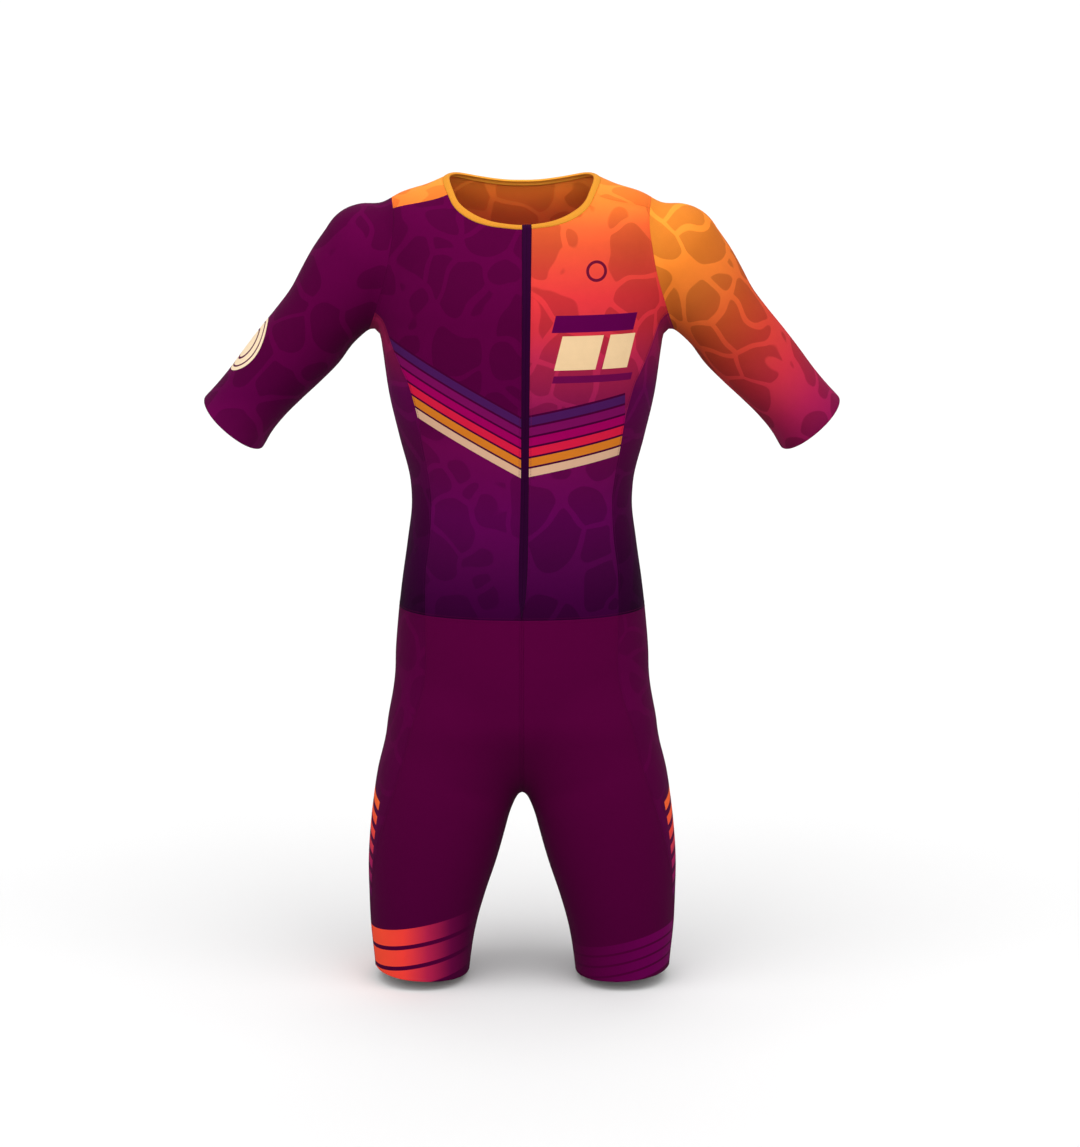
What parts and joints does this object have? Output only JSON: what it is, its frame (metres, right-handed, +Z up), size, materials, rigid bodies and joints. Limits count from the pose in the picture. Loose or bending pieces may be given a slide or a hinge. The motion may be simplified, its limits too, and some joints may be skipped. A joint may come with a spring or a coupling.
{
  "type": "cycling speed suit",
  "caption": "Close-fitting short-sleeved suit with joined shorts, narrow neckband and full-length front zip, filled out and open at neck, cuffs and hems.",
  "frame": {"origin": "Midway between the two high shoulder points, where the wearer's shoulders hold the suit up.", "axes": "+Z runs up from the hems to the neck, -Y is the front with the zip, and +X is the wearer's left."},
  "size_m": [0.7278, 0.2302, 0.9305],
  "materials": {
    "front_left_cloth": "matt orange stretch knit",
    "front_right_cloth": "matt plum stretch knit",
    "side_left_cloth": "matt crimson stretch knit",
    "side_right_cloth": "matt crimson stretch knit",
    "back_cloth": "matt amber stretch knit",
    "sleeve_left_cloth": "matt orange stretch knit",
    "sleeve_right_cloth": "matt plum stretch knit",
    "neckband_cloth": "matt amber folded binding",
    "zip_cloth": "matt dark woven tape",
    "shorts_front_left_cloth": "matt plum stretch knit",
    "shorts_front_right_cloth": "matt plum stretch knit",
    "shorts_side_left_cloth": "matt plum stretch knit",
    "shorts_side_right_cloth": "matt plum stretch knit",
    "shorts_back_left_cloth": "matt plum stretch knit",
    "shorts_back_right_cloth": "matt plum stretch knit"
  },
  "bodies": {
    "root": {"front_left": "front_left_cloth", "front_right": "front_right_cloth", "side_left": "side_left_cloth", "side_right": "side_right_cloth", "back": "back_cloth", "sleeve_left": "sleeve_left_cloth", "sleeve_right": "sleeve_right_cloth", "neckband": "neckband_cloth", "zip": "zip_cloth", "shorts_front_left": "shorts_front_left_cloth", "shorts_front_right": "shorts_front_right_cloth", "shorts_side_left": "shorts_side_left_cloth", "shorts_side_right": "shorts_side_right_cloth", "shorts_back_left": "shorts_back_left_cloth", "shorts_back_right": "shorts_back_right_cloth"}
  },
  "joints": []
}
